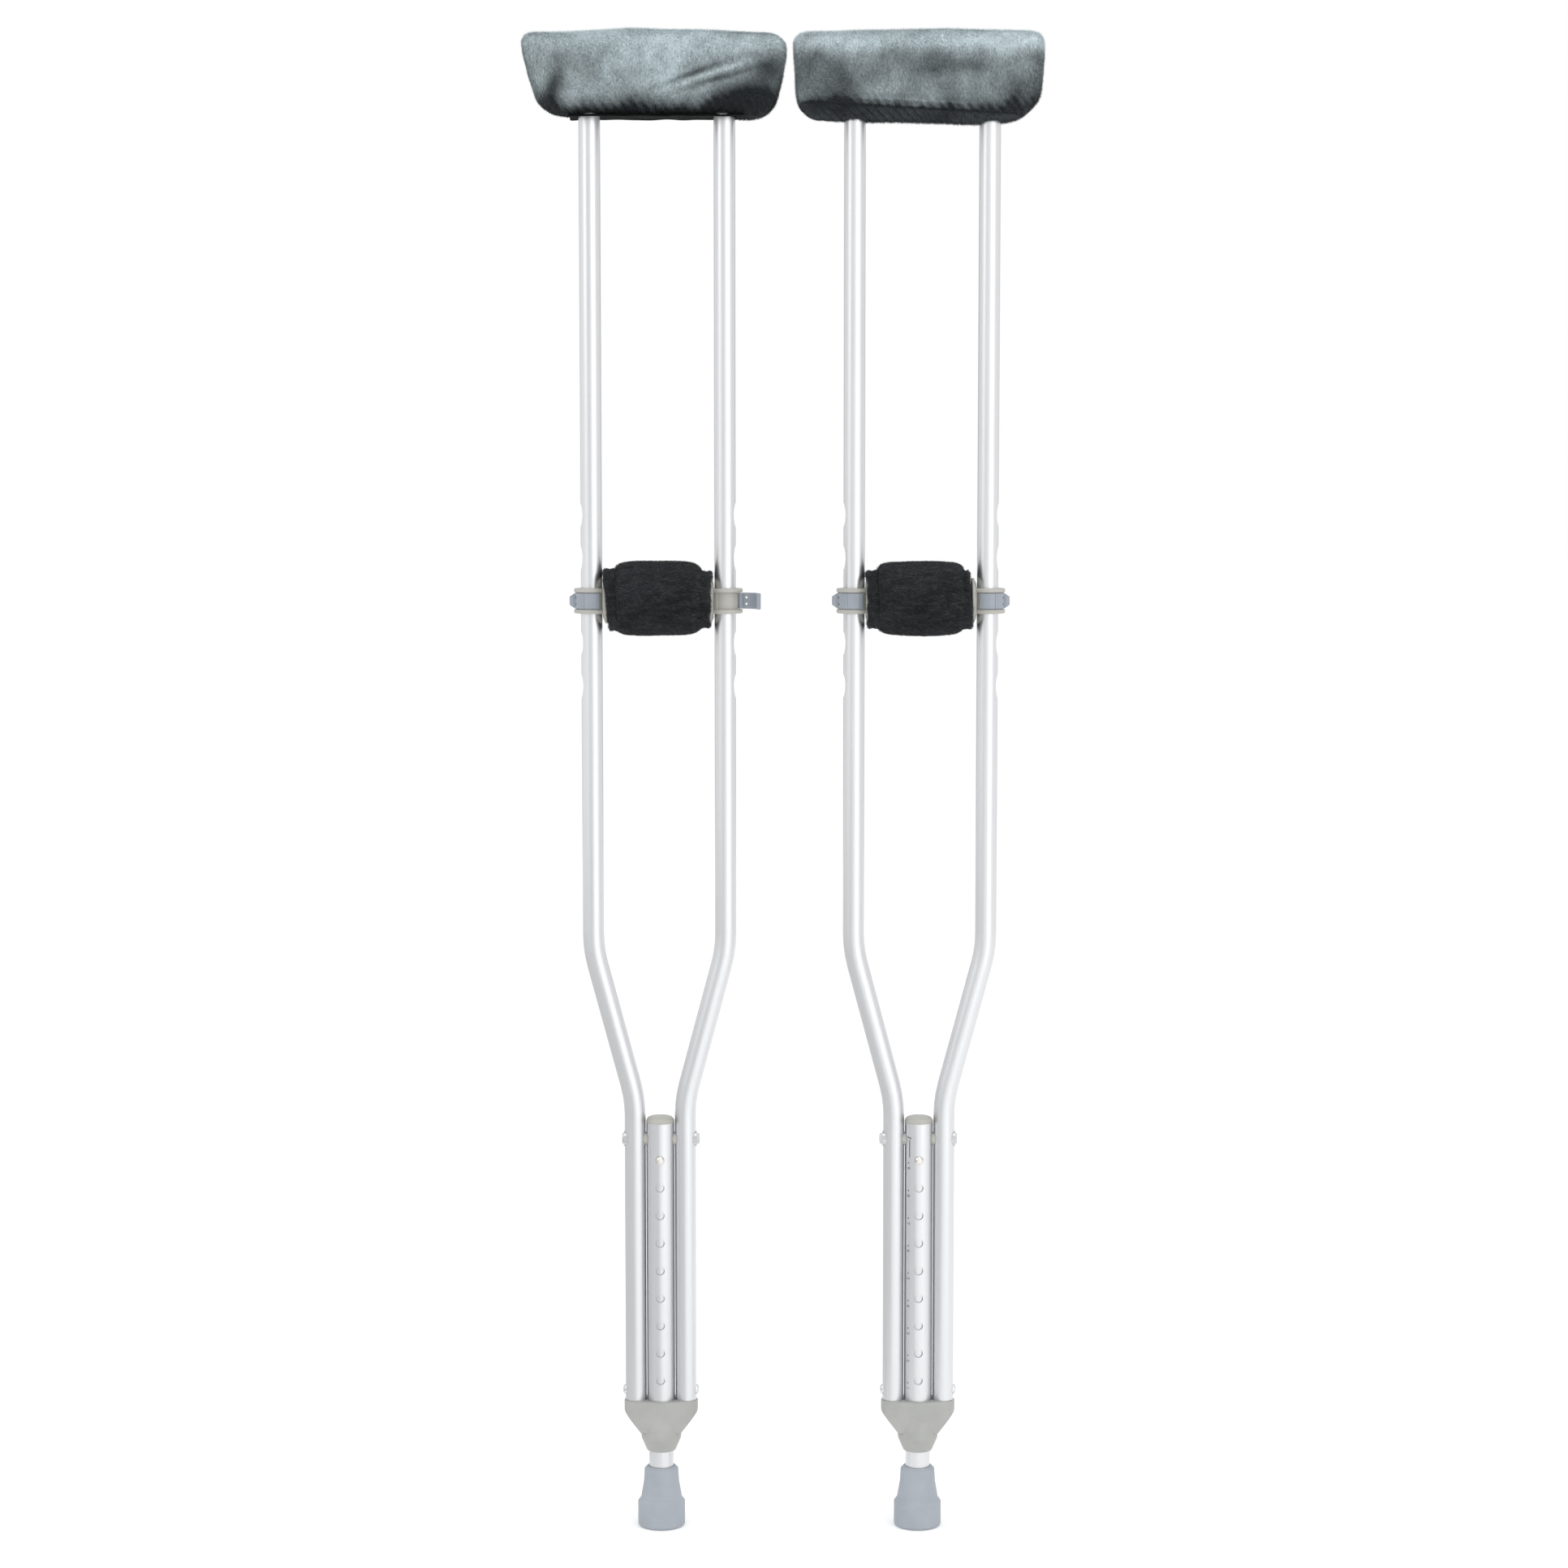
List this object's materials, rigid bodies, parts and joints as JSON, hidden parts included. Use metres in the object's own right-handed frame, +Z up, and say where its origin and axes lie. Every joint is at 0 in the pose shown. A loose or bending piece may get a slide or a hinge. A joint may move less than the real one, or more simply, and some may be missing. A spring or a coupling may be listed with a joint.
{
  "type": "pair of underarm crutches",
  "caption": "Underarm crutches: bent aluminium side rails, padded cushion, sliding clamped handgrip, push-button telescoping leg and rubber tip.",
  "frame": {"origin": "on the floor, midway between the two tips", "axes": "+Z up along the crutches, +X from the left crutch to the right one, -Y the front"},
  "size_m": [0.4598, 0.0676, 1.345],
  "materials": {
    "satin_aluminium": "satin",
    "grey_nylon": "satin",
    "yoke_nylon": "satin",
    "blue_grey_nylon": "satin",
    "black_polypropylene": "satin",
    "blue_grey_rubber": "matte",
    "zinc_steel": "satin",
    "bright_steel": "polished",
    "spring_steel": "satin",
    "aluminium_rivet": "satin",
    "plush_velour": "matte",
    "black_lining": "matte",
    "charcoal_fleece": "matte",
    "pad_foam": "matte"
  },
  "bodies": {
    "left_frame": {"left_outer_rail": "satin_aluminium", "left_inner_rail": "satin_aluminium", "left_centre_tube": "satin_aluminium", "left_tube_cap": "grey_nylon", "left_yoke": "yoke_nylon", "left_top_bolt": "zinc_steel", "left_top_nut": "zinc_steel", "left_top_washers": "zinc_steel", "left_tube_spacers": "grey_nylon", "left_yoke_rivets": "aluminium_rivet", "left_saddle": "black_polypropylene", "left_saddle_pins": "zinc_steel", "left_underarm_foam": "pad_foam", "left_underarm_cover": "plush_velour", "left_underarm_lining": "black_lining"},
    "left_leg": {"left_leg_tube": "satin_aluminium", "left_tip": "blue_grey_rubber", "left_tip_washer": "zinc_steel", "left_button_spring": "spring_steel"},
    "left_handgrip": {"left_outer_clamp": "grey_nylon", "left_inner_clamp": "grey_nylon", "left_grip_core": "black_polypropylene", "left_grip_foam": "pad_foam", "left_grip_cover": "charcoal_fleece", "left_latch_pins": "bright_steel"},
    "left_front_button": {"left_front_button": "bright_steel"},
    "left_back_button": {"left_back_button": "bright_steel"},
    "left_outer_latch": {"left_outer_latch": "blue_grey_nylon"},
    "left_inner_latch": {"left_inner_latch": "blue_grey_nylon"},
    "right_frame": {"right_outer_rail": "satin_aluminium", "right_inner_rail": "satin_aluminium", "right_centre_tube": "satin_aluminium", "right_tube_cap": "grey_nylon", "right_yoke": "yoke_nylon", "right_top_bolt": "zinc_steel", "right_top_nut": "zinc_steel", "right_top_washers": "zinc_steel", "right_tube_spacers": "grey_nylon", "right_yoke_rivets": "aluminium_rivet", "right_saddle": "black_polypropylene", "right_saddle_pins": "zinc_steel", "right_underarm_foam": "pad_foam", "right_underarm_cover": "plush_velour", "right_underarm_lining": "black_lining"},
    "right_leg": {"right_leg_tube": "satin_aluminium", "right_tip": "blue_grey_rubber", "right_tip_washer": "zinc_steel", "right_button_spring": "spring_steel"},
    "right_handgrip": {"right_outer_clamp": "grey_nylon", "right_inner_clamp": "grey_nylon", "right_grip_core": "black_polypropylene", "right_grip_foam": "pad_foam", "right_grip_cover": "charcoal_fleece", "right_latch_pins": "bright_steel"},
    "right_front_button": {"right_front_button": "bright_steel"},
    "right_back_button": {"right_back_button": "bright_steel"},
    "right_outer_latch": {"right_outer_latch": "blue_grey_nylon"},
    "right_inner_latch": {"right_inner_latch": "blue_grey_nylon"}
  },
  "joints": [
    {"name": "left_leg_slide", "type": "slide", "parent": "left_frame", "child": "left_leg", "axis": [0, 0, -1], "range_m": [0, 0.2032], "deforming": ["left_button_spring", "left_front_button", "left_back_button"]},
    {"name": "left_front_button_press", "type": "slide", "parent": "left_leg", "child": "left_front_button", "axis": [0, 1, 0], "range_m": [0, 0.0042], "stiffness_N_per_m": 800},
    {"name": "left_back_button_press", "type": "slide", "parent": "left_leg", "child": "left_back_button", "axis": [0, -1, 0], "range_m": [0, 0.0042], "stiffness_N_per_m": 800},
    {"name": "left_grip_height", "type": "slide", "parent": "left_frame", "child": "left_handgrip", "axis": [0, 0, 1], "range_m": [-0.0762, 0.0762]},
    {"name": "left_outer_latch_swing", "type": "hinge", "parent": "left_handgrip", "child": "left_outer_latch", "pos_m": [-0.1899, 0, 0.845], "axis": [0, 0, -1], "range_deg": [0, 102]},
    {"name": "left_inner_latch_swing", "type": "hinge", "parent": "left_handgrip", "child": "left_inner_latch", "pos_m": [-0.0441, 0, 0.845], "axis": [0, 0, 1], "range_deg": [-102, 0]},
    {"name": "crutch_spacing", "type": "slide", "parent": "left_frame", "child": "right_frame", "axis": [1, 0, 0], "range_m": [0, 0.4]},
    {"name": "right_leg_slide", "type": "slide", "parent": "right_frame", "child": "right_leg", "axis": [0, 0, -1], "range_m": [0, 0.2032], "deforming": ["right_button_spring", "right_front_button", "right_back_button"]},
    {"name": "right_front_button_press", "type": "slide", "parent": "right_leg", "child": "right_front_button", "axis": [0, 1, 0], "range_m": [0, 0.0042], "stiffness_N_per_m": 800},
    {"name": "right_back_button_press", "type": "slide", "parent": "right_leg", "child": "right_back_button", "axis": [0, -1, 0], "range_m": [0, 0.0042], "stiffness_N_per_m": 800},
    {"name": "right_grip_height", "type": "slide", "parent": "right_frame", "child": "right_handgrip", "axis": [0, 0, 1], "range_m": [-0.0762, 0.0762]},
    {"name": "right_outer_latch_swing", "type": "hinge", "parent": "right_handgrip", "child": "right_outer_latch", "pos_m": [0.1899, 0, 0.845], "axis": [0, 0, 1], "range_deg": [0, 102]},
    {"name": "right_inner_latch_swing", "type": "hinge", "parent": "right_handgrip", "child": "right_inner_latch", "pos_m": [0.0441, 0, 0.845], "axis": [0, 0, -1], "range_deg": [0, 102]}
  ]
}
